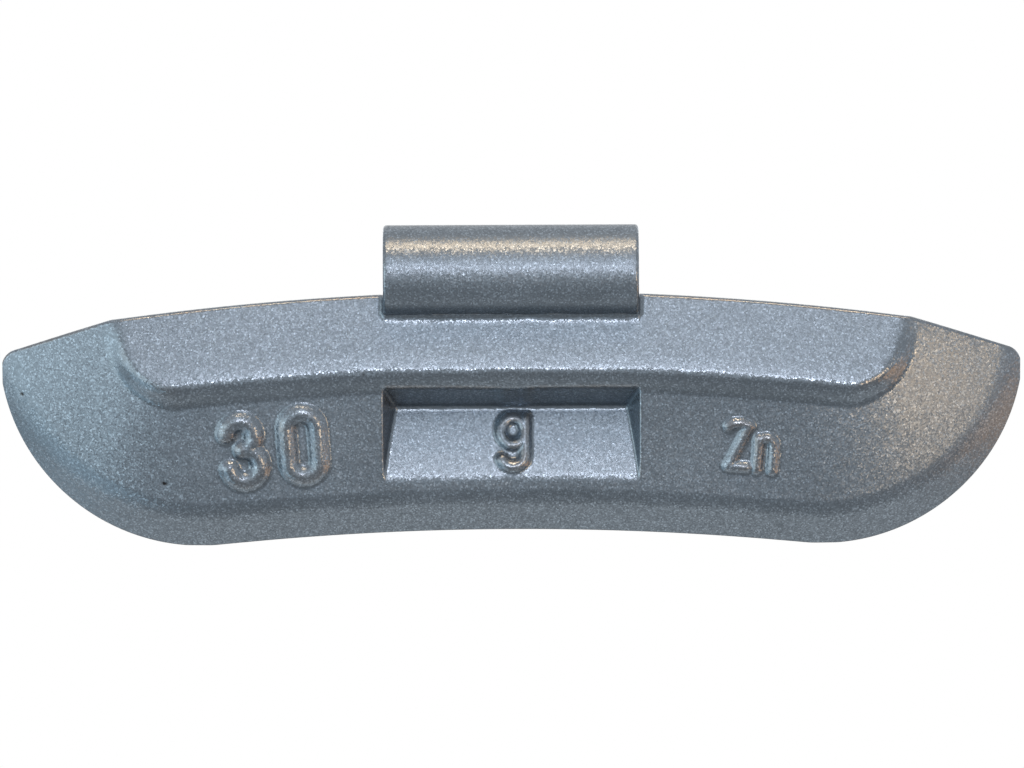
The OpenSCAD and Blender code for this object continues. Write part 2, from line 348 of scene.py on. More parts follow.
def line_distance(px, pz, line):
    """Distance of each point to a line through given points: the least over its pieces of the
    distance to the nearest place on the piece."""
    least_square = 1e-12
    start, run = line[:-1], np.diff(line, axis=0)
    size = np.maximum((run ** 2).sum(axis=1), least_square)
    along = ((px[:, None] - start[:, 0]) * run[:, 0] + (pz[:, None] - start[:, 1]) * run[:, 1]) / size
    t = np.clip(along, 0, 1)
    dx = px[:, None] - start[:, 0] - t * run[:, 0]
    dz = pz[:, None] - start[:, 1] - t * run[:, 1]
    return np.sqrt(dx * dx + dz * dz).min(axis=1)


# The casting

class Casting:
    """The casting's outline and faces, for whole arrays of x and z, in millimetres."""

    def __init__(self, sizes, clip, lowest):
        """Takes the sizes and works out the heights and places that follow from them. No point
        of the casting lies below lowest."""
        for name, value in plain_sizes(sizes).items():
            setattr(self, name, value)
        self.lowest = lowest
        self.clip_half = clip["clip_w"] / 2
        self.collar_z = -clip["roll_r"] - COLLAR_START
        self.half = self.body_length / 2
        self.ridge = -self.ridge_drop
        self.crest = self.ridge - self.band_h
        self.foot = self.ridge - self.body_height
        self.corner_x = self.half - self.tip_corner_r * sin(CORNER_TURN)
        self.tip_z = self.ridge - self.sag(self.half) - self.tip_run * tan(self.tip_fall)
        self.pad_half = self.pocket_w / 2 + PAD_MARGIN
        self.place_ends()
        self.place_band()

    def place_ends(self):
        """Centre of each end's arc, which meets the lower edge's arc without a kink."""
        self.end_x = self.half - self.end_r * cos(TIP_ANGLE)
        self.end_join = self.end_x / (1 + self.end_r / self.lip_r)
        lean = cos(asin(self.end_join / self.lip_r))
        self.end_z = self.foot - self.sag(self.end_join) + self.end_r * lean

    def place_band(self):
        """Centre of each round corner of the band, which meets the crest and the slanted end, and
        how much faster distance counts beside the end, where the slope is narrower."""
        r = self.band_corner_r
        end_z = self.ridge - self.sag(self.band_half)
        rise = end_z - self.crest_line(self.band_half) - r * (1 - sin(self.band_slant))
        self.band_x = self.band_half - r * cos(self.band_slant) - rise * tan(self.band_slant)
        self.band_z = self.crest_line(self.band_x) + r
        self.end_gain = self.riser_w / self.riser_end_w

    def sag(self, x):
        """Fall of the rim's arc below its top at x."""
        return self.lip_r - np.sqrt(self.lip_r ** 2 - x ** 2)

    def top(self, x):
        """Top edge: the rim's arc, then a straight fall to each tip with a round corner."""
        u = np.maximum(0, np.abs(x) - self.corner_x)
        corner = self.tip_corner_r - np.sqrt(self.tip_corner_r ** 2 - u ** 2)
        fall = np.maximum(0, np.abs(x) - self.half + self.tip_run) * tan(self.tip_fall)
        return self.ridge - self.sag(x) - fall - corner

    def low(self, x):
        """Lower edge: the rim's arc again, then an arc of end_r to each tip."""
        inner = np.minimum(np.abs(x), self.half)
        round_end = self.end_z - np.sqrt(np.maximum(0, self.end_r ** 2 - (inner - self.end_x) ** 2))
        return np.where(inner < self.end_join, self.foot - self.sag(x), round_end)

    def inset(self, x, z):
        """Distance in from the lower and end outline."""
        straight = (z - self.low(x)) * np.sqrt(1 - (x / self.lip_r) ** 2)
        curved = self.end_r - np.hypot(np.abs(x) - self.end_x, z - self.end_z)
        return np.where(np.abs(x) < self.end_join, straight, curved)

    def crest_line(self, x):
        """Height of the crest: level under the clip, and an arc of the rim beside it."""
        return self.crest - self.sag(np.maximum(np.abs(x), self.pad_half)) + self.sag(self.pad_half)

    def band_distance(self, x, z):
        """Distance out from the raised band: straight below it, round at its corners, straight
        again beside its slanted ends, where it counts end_gain times, so the slope is narrower."""
        least = 1e-4
        u, v = np.abs(x) - self.band_x, self.band_z - z
        turn = np.arctan2(v, np.maximum(u, least))
        gain = mix(1, self.end_gain, (pi / 2 - turn) / (pi / 2 - self.band_slant))
        corner = (np.hypot(u, v) - self.band_corner_r) * gain
        beside = u * cos(self.band_slant) + v * sin(self.band_slant) - self.band_corner_r
        ends = np.where(turn > self.band_slant, corner, beside * self.end_gain)
        return np.where(u <= 0, self.crest_line(x) - z, ends)

    def band_y(self, x, z):
        """The raised band: a plane through the crest, tilted up by band_tilt."""
        return -self.crest_front + (z - self.crest + self.sag(x)) * tan(self.band_tilt)

    def face_y(self, x, z):
        """The lower face: a plane band_step behind the crest, tilted down by face_tilt."""
        drop = z - self.crest + self.sag(x)
        return self.band_step - self.crest_front - drop * tan(self.face_tilt)

    def facet_y(self, x, z):
        """The end facets: planes through the tips, turned by facet_yaw and tilted by facet_tilt,
        set back by a dome, the squares of the distances from its top over twice its radii."""
        inward = (self.half - np.abs(x)) * tan(self.facet_yaw)
        dome = (np.abs(x) - FACET_TOP[0]) ** 2 / (2 * FACET_DOME_RX)
        dome = dome + (z - FACET_TOP[1]) ** 2 / (2 * FACET_DOME_RZ)
        return self.seat_back - self.tip_t - inward + (z - self.tip_z) * tan(self.facet_tilt) + dome

    def edge_y(self, x, z):
        """The drafted edge: forward from the parting edge by its tilt as it goes in."""
        return self.seat_back - self.land(x) - self.inset(x, z) * tan(self.edge_tilt)

    def land(self, x):
        """Width of the parting edge, which narrows by a smooth step over each outer quarter."""
        along = smooth_step((np.abs(x) - self.half / 2) / (self.half / 2))
        return mix(self.land_t, self.land_tip_t, along)

    def ridge_round(self, x, z):
        """How far the ridge's round sets the front back: a quarter circle below the top edge."""
        u = RIDGE_R - np.clip(self.top(x) - z, 0, RIDGE_R)
        return RIDGE_R - np.sqrt(RIDGE_R ** 2 - u ** 2)

    def pocket_y(self, x, z):
        """Depth of the pocket: the nearest of four planes, its floor, its upper wall and its two
        side walls, each through three of the pocket's corners, with round joins. The floor swells
        as a parabola down its length, and dips at its deep end by an amount that decays."""
        mouth_top = self.crest - self.pocket_gap
        mouth_low = mouth_top - self.pocket_h
        deep_z = mouth_top - self.pocket_wall_h
        deep_y = float(self.face_y(0.0, deep_z)) + self.pocket_depth
        top_y, low_y = float(self.face_y(0.0, mouth_top)), float(self.face_y(0.0, mouth_low))
        down = np.clip((z - deep_z) / (mouth_low - deep_z), 0, 1)
        floor = deep_y + (z - deep_z) * (low_y - deep_y) / (mouth_low - deep_z)
        floor = floor - 4 * FLOOR_SWELL * down * (1 - down)
        floor = floor + FLOOR_DIP * np.exp((z - deep_z) / FLOOR_DIP_RUN)
        upper = deep_y + (z - deep_z) * (top_y - deep_y) / (mouth_top - deep_z)
        side_points = np.array([
            [self.pocket_floor_w / 2, deep_z, 1],
            [self.pocket_w / 2, mouth_top, 1],
            [self.pocket_w / 2, mouth_low, 1],
        ])
        a, b, c = np.linalg.solve(side_points, [deep_y, top_y, low_y])
        side = a * np.abs(x) + b * z + c
        return smooth_min(smooth_min(floor, upper, FLOOR_BLEND), side, SIDE_BLEND)

    def figures(self, x, z):
        """Height of the raised figures: for each, a ridge over its line that falls as the square
        of the distance to it. Each figure turns with the rim."""
        height = np.zeros_like(x)
        for line, place, level, foot, relief in FIGURES:
            turn = -asin(place / self.lip_r)
            dx, dz = x - place, z - level + float(self.sag(place))
            near = np.hypot(dx, dz) < FIGURE_REACH
            u = dx[near] * cos(turn) + dz[near] * sin(turn)
            v = -dx[near] * sin(turn) + dz[near] * cos(turn)
            ridge = getattr(self, relief) * (1 - (line_distance(u, v, line()) / foot) ** 2)
            height[near] = np.maximum(height[near], smooth_max(ridge, 0, FOOT_BLEND))
        return height

    def pits(self, x, z):
        """Depth of the pits: for each, a dip that falls off as a bell curve of its radius."""
        depth = 0
        for px, pz, r, deepest in PITS:
            depth = depth + deepest * np.exp(-((x - px) ** 2 + (z - pz) ** 2) / r ** 2)
        return depth

    def collar_lift(self, x, z):
        """Metal drawn up round the clip: it leaves the face at a wavy line below the roll, on a
        hollow that tightens as it rises, and dies away on a smaller round beside the strip."""
        start = rippled(self.collar_z, x, np.zeros_like(x), COLLAR_WAVES)
        rise = np.clip(z - start, 0, 1)
        lift = rise ** 2 / (2 * self.collar_r) + COLLAR_TIGHTENING * rise ** 4
        d = np.clip((np.abs(x) - self.clip_half) / self.collar, 0, 1)
        aside = 1 - np.sqrt(1 - (1 - d) ** 2)
        return np.minimum(lift, self.collar) * aside

    def front(self, x, z):
        """Front surface as Y over (x, z): the band and the lower face joined by the slope, the
        pocket, the figures, the drafted edge, the collar and the round ridge."""
        out = self.band_distance(x, z)
        raised = 1 - smooth_step((out - CREST_SHIFT) / (self.riser_w - CREST_SHIFT))
        lower = smooth_max(self.face_y(x, z), self.facet_y(x, z), FACET_BLEND)
        crest = np.maximum(0, out + CREST_ROUND) ** 2 / (2 * CREST_R)
        face = mix(lower, self.band_y(x, z) + np.minimum(crest, CREST_ROUND / 2), raised)
        face = rippled(face, x, z, FACE_WAVES)
        face = smooth_max(face, self.pocket_y(x, z), MOUTH_BLEND)
        face = face - self.figures(x, z) + self.pits(x, z)
        face = smooth_max(face, self.edge_y(x, z), EDGE_BLEND)
        face = face - self.collar_lift(x, z) + self.ridge_round(x, z)
        return np.minimum(face, self.seat_back - self.land(x))


def skin_points(casting):
    """Points of the casting's skin, sections by points round each: down the front, across the
    parting edge, up the seat and over the round that lies under the flange's lip. The front's x,
    z and y come with them."""
    half = casting.half
    x = places(-half, half, ALONG_BASE, ALONG)
    drop = places(0, casting.body_height, DOWN_BASE, DOWN) / casting.body_height
    top, low = casting.top(x), np.maximum(casting.low(x), casting.lowest)
    tall = top - low
    z = top[:, None] - tall[:, None] * drop
    grid_x = np.broadcast_to(x[:, None], z.shape)
    y = casting.front(grid_x.ravel().copy(), z.ravel()).reshape(z.shape)
    front = np.stack([grid_x, y, z], axis=-1)

    back, lead = casting.seat_back, y[:, 0]
    # At the tips the chamfer is a fifth of the height at most, and the flange's round a half
    chamfer = np.minimum(SEAT_CHAMFER, tall / 5)
    r = np.minimum(back - lead, tall / 2)
    rows = [(back - chamfer * CHAMFER_WIDTH, low), (np.full_like(x, back), low + chamfer)]
    for t in SEAT_ROWS:
        rows.append((np.full_like(x, back), mix(low + chamfer, top - r, t)))
    for a in np.linspace(0, pi / 2, ROUND_ROWS + 1)[:-1]:
        rows.append((mix(lead, back, cos(a)), top - r + r * sin(a)))
    behind = np.stack([np.stack([x, row_y, row_z], axis=-1) for row_y, row_z in rows], axis=1)
    return np.concatenate([front, behind], axis=1), x, z, y


def edge_mask(x, z, y):
    """How sharply the front bulges, from -1 in a tight recess to 1 on a tight edge: the sum of
    its second derivatives along X and Z."""
    along = np.gradient(np.gradient(y, x, axis=0), x, axis=0)
    step = np.gradient(z, axis=1)
    down = np.gradient(np.gradient(y, axis=1) / step, axis=1) / step
    return np.clip((along + down) / TIGHT_CURVATURE, -1, 1)


# The bent strip

def strip_path(c, spacing):
    """Centre line of the strip in the plane of Y and Z, and its direction at each point: straight
    moves, and bends of a mean radius through a turn that is positive to the left."""
    half_t = c["clip_t"] / 2
    roll, hook, lead = c["roll_r"] - half_t, c["hook_r"] + half_t, c["lead_r"] + half_t
    lean = c["tongue_lean"]
    over_dir = c["roll_exit"] - pi / 2
    tongue_dir = -pi / 2 - lean
    reach = c["tongue_l"] * sin(lean) + lead * (1 - cos(lean)) + half_t
    # The run over the flange's lip is as long as leaves the gap between the seat and the tongue
    over = c["seat_back"] + c["grip"] + reach
    over = over - hook * (sin(over_dir) + cos(lean)) - roll * cos(c["roll_exit"])
    moves = (
        (c["leg_l"], 0), (c["neck_r"], pi / 2), (roll, over_dir - pi), (over / cos(over_dir), 0),
        (hook, tongue_dir - over_dir), (c["tongue_l"], 0), (lead, c["lead_turn"]),
    )
    at, heading = np.array([c["neck_r"], -roll - c["neck_r"] - c["leg_l"]]), pi / 2
    points, headings = [at[None]], [np.array([heading])]
    for size, turn in moves:
        count = max(2, ceil((size * abs(turn) if turn else size) / spacing))
        s = np.arange(1, count + 1) / count
        if turn:
            side = pi / 2 if turn > 0 else -pi / 2
            centre = at + size * np.array([cos(heading + side), sin(heading + side)])
            along = heading + turn * s
            spoke = along - side
            made = centre + size * np.stack([np.cos(spoke), np.sin(spoke)], axis=1)
        else:
            along = np.full(count, heading)
            made = at + size * s[:, None] * np.array([cos(heading), sin(heading)])
        points.append(made)
        headings.append(along)
        at, heading = made[-1], along[-1]
    return np.concatenate(points), np.concatenate(headings)


def strip_section(half_w, half_t, r):
    """Outline of the strip: a rectangle with round corners, as places across and through it. Its
    two wide sides have points between the corners."""
    rounds = []
    for across, through, start in ((1, 1, 0), (-1, 1, 90), (-1, -1, 180), (1, -1, 270)):
        a = np.radians(start + np.linspace(0, 90, CORNER_STEPS + 1))
        centre = np.array([across * (half_w - r), through * (half_t - r)])
        rounds.append(centre + r * np.stack([np.cos(a), np.sin(a)], axis=1))
    t = (np.arange(1, STRIP_STEPS) / STRIP_STEPS)[:, None]
    front, back = (mix(rounds[n][-1], rounds[n + 1][0], t) for n in (0, 2))
    return np.concatenate([rounds[0], front, rounds[1], rounds[2], back, rounds[3]])


def sweep(path, heading, outline, r):
    """The outline set square to the path at each of its points. At both ends it shrinks by r
    round a quarter circle, so that the cut ends are rounded."""
    run = np.concatenate([[0], np.cumsum(np.hypot(*np.diff(path, axis=0).T))])
    total = run[-1]
    quarter = r * (1 - np.cos(np.radians(np.linspace(0, 90, END_ROWS))))
    s = np.unique(np.concatenate([quarter, run[(run > r) & (run < total - r)], total - quarter]))
    y, z = np.interp(s, run, path[:, 0])[:, None], np.interp(s, run, path[:, 1])[:, None]
    turn = np.interp(s, run, np.unwrap(heading))[:, None]
    end = np.clip(np.minimum(s, total - s) / r, 0, 1)
    shrink = r * (1 - np.sqrt(1 - (1 - end) ** 2))
    flat = outline * (1 - shrink[:, None, None] / np.abs(outline).max(axis=0))
    across, through = flat[..., 0], flat[..., 1]
    return np.stack([across, y - through * np.sin(turn), z + through * np.cos(turn)], axis=-1)


# Meshes and pieces

def closed_grid(points, name):
    """Mesh of a grid of closed sections: a quad between each two neighbours of one section and
    the next, and a fan about the mean of the first and of the last section."""
    sections, around, _ = points.shape
    hubs = points[[0, -1]].mean(axis=1)
    verts = np.concatenate([points.reshape(-1, 3), hubs])
    i = np.arange(sections - 1)[:, None] * around
    j = np.arange(around)
    k = (j + 1) % around
    quads = np.stack([i + j, i + k, i + around + k, i + around + j], axis=-1).reshape(-1, 4)
    hub, last = sections * around, (sections - 1) * around
    first_fan = np.stack([np.full(around, hub), k, j], axis=-1)
    last_fan = np.stack([np.full(around, hub + 1), last + j, last + k], axis=-1)
    mesh = bpy.data.meshes.new(name)
    mesh.from_pydata((verts * MM).tolist(), [], quads.tolist() + first_fan.tolist() + last_fan.tolist())
    mesh.update()
    return mesh


def put_edge(mesh, values):
    """Stores the edge attribute of a closed grid: one value a point, and 0 at the two hubs."""
    attribute = mesh.attributes.new("edge", "FLOAT", "POINT")
    attribute.data.foreach_set("value", np.append(values.ravel(), [0, 0]).astype(np.float32))


def finish_piece(mesh, material, node):
    """A piece from its mesh: smooth, in its material, riding on the frame in the node's stead."""
    mesh.polygons.foreach_set("use_smooth", np.ones(len(mesh.polygons), bool))
    mesh.set_sharp_from_angle(angle=SHARP_TURN)
    mesh.materials.append(material)
    piece = bpy.data.objects.new(mesh.name, mesh)
    bpy.context.scene.collection.objects.link(piece)
    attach(piece, "root")
    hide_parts(node)


# Nodes

def socket(group, name, kind, out=False, value=None):
    """A named input or output of a node group, with its default."""
    made = group.interface.new_socket(
        name=name, in_out="OUTPUT" if out else "INPUT", socket_type="NodeSocket" + kind
    )
    if value is not None:
        made.default_value = value


def new_node(tree, kind, links=(), **settings):
    """A node with its settings, and its inputs linked or set by number or name."""
    made = tree.nodes.new(kind)
    for key, value in settings.items():
        setattr(made, key, value)
    for key, value in dict(links).items():
        if isinstance(value, bpy.types.NodeSocket):
            tree.links.new(value, made.inputs[key])
        else:
            made.inputs[key].default_value = value
    return made


def maths(tree, operation, *values):
    """The result of a Math node over sockets and numbers."""
    return new_node(tree, "ShaderNodeMath", enumerate(values), operation=operation).outputs[0]


def vector_maths(tree, operation, *values, scale=None):
    """The result of a Vector Math node over sockets and triples, with its scale if it has one."""
    links = dict(enumerate(values))
    if scale is not None:
        links["Scale"] = scale
    return new_node(tree, "ShaderNodeVectorMath", links, operation=operation).outputs[0]


def rescaled(tree, value, low, high, to_low=0.0, to_high=1.0):
    """The value brought from one range to another, and kept within it."""
    return new_node(tree, "ShaderNodeMapRange", enumerate((value, low, high, to_low, to_high))).outputs[0]


def toned(tree, part, first, second):
    """The first colour, a socket, gone over to the second, a triple, by the part."""
    links = {0: part, 6: first, 7: (*second, 1)}
    return new_node(tree, "ShaderNodeMix", links, data_type="RGBA").outputs[2]


def noise(tree, place, scale, detail):
    """The value of a noise whose scale is its waves in a metre."""
    links = {"Vector": place, "Scale": scale, "Detail": detail}
    return new_node(tree, "ShaderNodeTexNoise", links).outputs[0]


# Shared node groups

def flake_group(name):
    """Metallic flakes: cells that each tilt the normal their own way and have their own tone."""
    group = bpy.data.node_groups.new(name, "ShaderNodeTree")
    socket(group, "Vector", "Vector")
    socket(group, "Cells per metre", "Float", value=8000)
    socket(group, "Tilt", "Float", value=0.3)
    socket(group, "Normal", "Vector", out=True)
    socket(group, "Tone", "Float", out=True)
    middle = (0.5, 0.5, 0.5)
    into = new_node(group, "NodeGroupInput").outputs
    links = {"Vector": into["Vector"], "Scale": into["Cells per metre"]}
    cell = new_node(group, "ShaderNodeTexVoronoi", links).outputs["Color"]
    lean = vector_maths(group, "SUBTRACT", cell, middle)
    tilt = vector_maths(group, "SCALE", lean, scale=into["Tilt"])
    straight = new_node(group, "ShaderNodeNewGeometry").outputs["Normal"]
    tilted = vector_maths(group, "NORMALIZE", vector_maths(group, "ADD", straight, tilt))
    tone = new_node(group, "ShaderNodeSeparateColor", {"Color": cell}).outputs["Green"]
    new_node(group, "NodeGroupOutput", {"Normal": tilted, "Tone": tone})
    return group


def skin_group(name):
    """Height of a sprayed coat over a die-cast face: a soft orange peel and a finer grain."""
    peel_scale, peel_detail = 1100.0, 2.0
    grain_scale, grain_detail = 5200.0, 1.0
    group = bpy.data.node_groups.new(name, "ShaderNodeTree")
    socket(group, "Vector", "Vector")
    socket(group, "Peel", "Float", value=0.5)
    socket(group, "Grain", "Float", value=0.5)
    socket(group, "Height", "Float", out=True)
    into = new_node(group, "NodeGroupInput").outputs
    peel = noise(group, into["Vector"], peel_scale, peel_detail)
    grain = noise(group, into["Vector"], grain_scale, grain_detail)
    high = maths(group, "MULTIPLY", peel, into["Peel"])
    both = maths(group, "MULTIPLY_ADD", grain, into["Grain"], high)
    new_node(group, "NodeGroupOutput", {"Height": both})
    return group


def edge_group(name):
    """Masks from the edge attribute: of the brownish edge tone, partly thin coating and partly a
    painted warm sheen, broken up by a patchy noise; of painted shade in recesses; of bends where
    the coating flowed smooth; and of near-black painted shade in pits."""
    patch_scale, patch_detail = 420.0, 4.0
    patch_stretch, patch_shares = (0.42, 0.66), (0.15, 1.0)
    # Ranges of the edge attribute for the brownish edge tone (thin coating and painted warm sheen), the
    # painted shade in recesses, the smoother bends and the painted shade in pits
    thin, recess, flowed, hole_shade = (0.35, 1.0), (-0.2, -1.0), (0.08, 0.45), (-1.1, -2.2)
    group = bpy.data.node_groups.new(name, "ShaderNodeTree")
    socket(group, "Vector", "Vector")
    socket(group, "Edge", "Float")
    for mask in ("Thin", "Recess", "Flowed", "Hole"):
        socket(group, mask, "Float", out=True)
    into = new_node(group, "NodeGroupInput").outputs
    edge = into["Edge"]
    patches = noise(group, into["Vector"], patch_scale, patch_detail)
    patchy = rescaled(group, patches, *patch_stretch, *patch_shares)
    new_node(group, "NodeGroupOutput", {
        "Thin": maths(group, "MULTIPLY", rescaled(group, edge, *thin), patchy),
        "Recess": rescaled(group, edge, *recess),
        "Flowed": rescaled(group, maths(group, "ABSOLUTE", edge), *flowed),
        "Hole": rescaled(group, edge, *hole_shade),
    })
    return group


SHARED_GROUPS = {
    "coating flakes": flake_group,
    "sprayed casting skin": skin_group,
    "edges and recesses": edge_group,
}


def placed(tree, name, links):
    """The outputs of a shared node group, which is made when it is first placed."""
    group = bpy.data.node_groups.get(name) or SHARED_GROUPS[name](name)
    return new_node(tree, "ShaderNodeGroup", links, node_tree=group).outputs


# The coating

# Tilt of its flakes, height of its grain beside a peel of 1, and depth of both in metres
FLAKE_TILT = 0.165
GRAIN = 0.35
SKIN_DEPTH = 0.00002
# Tones of the dullest and the brightest common flake, what a sparkling one adds to its tone, and
# the power that keeps those few
FLAKE_TONES = (0.76, 1.08)
SPARKLE = 0.65
SPARKLE_POWER = 7.0
# Clouds in its tone and roughness: waves in a metre and detail, the stretch of the noise that is
# used, the tones that it gives, and how far it takes the roughness down and up
CLOUD_SCALE = 130.0
CLOUD_DETAIL = 3.0
CLOUD_STRETCH = (0.3, 0.7)
CLOUD_TONES = (0.94, 1.06)
CLOUD_SMOOTHER = 0.02
CLOUD_ROUGHER = 0.03
# How far a recess takes the darker tone of painted shade, how much smoother a bend is, and the
# near-black painted shade in a pit
RECESS_SHADE_SHARE = 0.45
FLOWED_SMOOTHER = 0.13
HOLE_SHADE = (0.02, 0.022, 0.025)


def coat_material(name, colours, peel, wear_and_sheen):
    """The sprayed silver grey coating: flakes in its tone and normal, an orange peel of height
    peel, brownish edges, partly a thin coating and partly a painted warm sheen, that show by at
    most the given share, recesses darkened by painted shade, and pits painted near black as shade."""
    material = bpy.data.materials.new(name)
    material.use_nodes = True
    tree = material.node_tree
    place = new_node(tree, "ShaderNodeTexCoord").outputs["Object"]
    edge = new_node(tree, "ShaderNodeAttribute", attribute_name="edge").outputs["Fac"]
    flake = {"Vector": place, "Cells per metre": 1 / colours.flake, "Tilt": FLAKE_TILT}
    flakes = placed(tree, "coating flakes", flake)
    edges = placed(tree, "edges and recesses", {"Vector": place, "Edge": edge})
    skin = placed(tree, "sprayed casting skin", {"Vector": place, "Peel": peel, "Grain": GRAIN})

    cloud = noise(tree, place, CLOUD_SCALE, CLOUD_DETAIL)
    few = maths(tree, "POWER", flakes["Tone"], SPARKLE_POWER)
    common = rescaled(tree, flakes["Tone"], 0.0, 1.0, *FLAKE_TONES)
    spark = maths(tree, "MULTIPLY_ADD", few, SPARKLE, common)
    tone = maths(tree, "MULTIPLY", rescaled(tree, cloud, *CLOUD_STRETCH, *CLOUD_TONES), spark)
    paint = vector_maths(tree, "SCALE", tuple(colours.paint), scale=tone)
    # Brownish edges, partly thin coating and partly a painted warm sheen, then painted shade in the
    # recesses
    worn_and_sheen = toned(tree, maths(tree, "MULTIPLY", edges["Thin"], wear_and_sheen), paint, colours.worn_and_sheen)
    deep = toned(tree, maths(tree, "MULTIPLY", edges["Recess"], RECESS_SHADE_SHARE), worn_and_sheen, colours.deep)
    gloss = (colours.gloss - CLOUD_SMOOTHER, colours.gloss + CLOUD_ROUGHER)
    dull = rescaled(tree, cloud, *CLOUD_STRETCH, *gloss)
    bump = {"Strength": 1.0, "Distance": SKIN_DEPTH, "Height": skin["Height"], "Normal": flakes["Normal"]}

    shader = tree.nodes["Principled BSDF"].inputs
    shader["Metallic"].default_value = colours.metal
    # Pits are painted near black as shade
    tree.links.new(toned(tree, edges["Hole"], deep, HOLE_SHADE), shader["Base Color"])
    tree.links.new(
        maths(tree, "MULTIPLY_ADD", edges["Flowed"], -FLOWED_SMOOTHER, dull), shader["Roughness"]
    )
    tree.links.new(new_node(tree, "ShaderNodeBump", bump).outputs[0], shader["Normal"])
    return material


# The stage

# Soft lamps: azimuth, elevation and distance in metres, width and height in metres, power in
# watts and colour
LAMPS = (
    ("key", 2, 15.4, 0.75, 0.15, 0.11, 0.998, (1.00, 0.90, 0.89)),
    ("overhead", 12, 74, 0.75, 0.50, 0.12, 3.09, (1.00, 0.64, 0.36)),
    ("left fill", -58, -2, 0.75, 0.90, 0.52, 2.06, (0.91, 1.00, 0.95)),
    ("right fill", 34, -7, 0.75, 0.22, 0.15, 0.95, (1.00, 0.58, 0.28)),
    ("under fill", 180, -85, 0.28, 0.80, 0.12, 0.19, (1.00, 0.94, 0.86)),
    ("upper fill", 2, 33, 0.75, 0.50, 0.14, 0.498, (1.00, 0.97, 0.99)),
    ("low left fill", -64, -37, 0.60, 0.44, 0.36, 0.403, (0.68, 0.92, 1.00)),
    ("low right fill", 82, -26, 0.75, 0.40, 0.25, 0.5, (1.00, 0.45, 0.15)),
    ("back fill", 180, -12, 0.75, 0.60, 0.40, 0.7, (0.90, 0.95, 1.00)),
)
# The place that they shine on, in metres
CENTRE = Vector((0, 0, -0.008))


def toward(azimuth, elevation):
    """Direction from the weight, with azimuth 0 to the front and 90 to the right, in degrees."""
    a, e = radians(azimuth), radians(elevation)
    return Vector((sin(a) * cos(e), -cos(a) * cos(e), sin(e)))


def seen_or_mirrored(tree):
    """1 for rays from the camera and for mirrored and transmitted rays, otherwise 0."""
    ray = new_node(tree, "ShaderNodeLightPath").outputs
    either = maths(tree, "MAXIMUM", ray["Is Camera Ray"], ray["Is Glossy Ray"])
    return maths(tree, "MAXIMUM", either, ray["Is Transmission Ray"])


def floor_material():
    """A pale dull floor that also glows a little for the camera and in what mirrors it."""
    tone, roughness, glow = 0.82, 0.9, 0.5
    material = bpy.data.materials.new("pale floor")
    material.use_nodes = True
    tree = material.node_tree
    shader = tree.nodes["Principled BSDF"].inputs
    shader["Base Color"].default_value = (tone, tone, tone, 1)
    shader["Roughness"].default_value = roughness
    shader["Emission Strength"].default_value = glow
    tree.links.new(seen_or_mirrored(tree), shader["Emission Color"])
    return material


def pale_floor():
    """A round pale floor well below the held part: a disc of rings about its centre, in metres."""
    rings, spokes, radius, level = 12, 96, 3.75, -1.3
    r = np.linspace(0, radius, rings + 1)[1:, None]
    a = np.linspace(0, 2 * pi, spokes, endpoint=False)
    ring = np.stack([r * np.cos(a), r * np.sin(a), np.full((rings, spokes), level)], axis=-1)
    verts = np.concatenate([ring.reshape(-1, 3), [[0, 0, level]]])
    j = np.arange(spokes)
    k = (j + 1) % spokes
    i = np.arange(rings - 1)[:, None] * spokes
    quads = np.stack([i + j, i + spokes + j, i + spokes + k, i + k], axis=-1).reshape(-1, 4)
    fan = np.stack([np.full(spokes, rings * spokes), j, k], axis=-1)
    mesh = bpy.data.meshes.new("pale_floor")
    mesh.from_pydata(verts.tolist(), [], quads.tolist() + fan.tolist())
    mesh.materials.append(floor_material())
    floor = bpy.data.objects.new("pale_floor", mesh)
    bpy.context.scene.collection.objects.link(floor)


def white_world():
    """World that is white to the camera and in what mirrors it, and gives no other light."""
    world = bpy.data.worlds.new("studio")
    world.use_nodes = True
    back = world.node_tree.nodes["Background"].inputs
    back["Color"].default_value = (1, 1, 1, 1)
    world.node_tree.links.new(seen_or_mirrored(world.node_tree), back["Strength"])
    bpy.context.scene.world = world


def add_lamp(name, azimuth, elevation, distance, width, height, power, colour):
    """A soft lamp that faces the weight, unseen by the camera."""
    light = bpy.data.lights.new(name, "AREA")
    light.shape = "RECTANGLE"
    light.size = width
    light.size_y = height
    light.energy = power
    light.color = colour
    lamp = bpy.data.objects.new(name, light)
    out = toward(azimuth, elevation)
    lamp.location = CENTRE + out * distance
    lamp.rotation_euler = out.to_track_quat("Z", "Y").to_euler()
    lamp.visible_camera = False
    bpy.context.scene.collection.objects.link(lamp)


def add_camera():
    """Camera before the front, 8 degrees above it and rolled a quarter of a degree. Its frame is
    frame_w wide at the weight and aimed so that the roll's axis lands where the photograph has
    it: 113 pixels above the middle of a frame 1024 pixels wide. Lens and sensor are in
    millimetres, the rest in metres and degrees."""
    elevation, roll, lens, sensor = 8.0, 0.25, 400.0, 36.0
    frame_w, aside, rise = 0.07215, 0.00008, 0.00797
    camera = bpy.data.cameras.new("camera")
    camera.lens = lens
    camera.sensor_width = sensor
    seat = bpy.data.objects.new("camera", camera)
    out = toward(0, elevation)
    turn = out.to_track_quat("Z", "Y").to_matrix() @ Matrix.Rotation(radians(-roll), 3, "Z")
    seat.location = turn @ Vector((aside, -rise, 0)) + out * (lens * frame_w / sensor)
    seat.rotation_euler = turn.to_euler()
    bpy.context.scene.collection.objects.link(seat)
    bpy.context.scene.camera = seat


# Operators, panel and registration

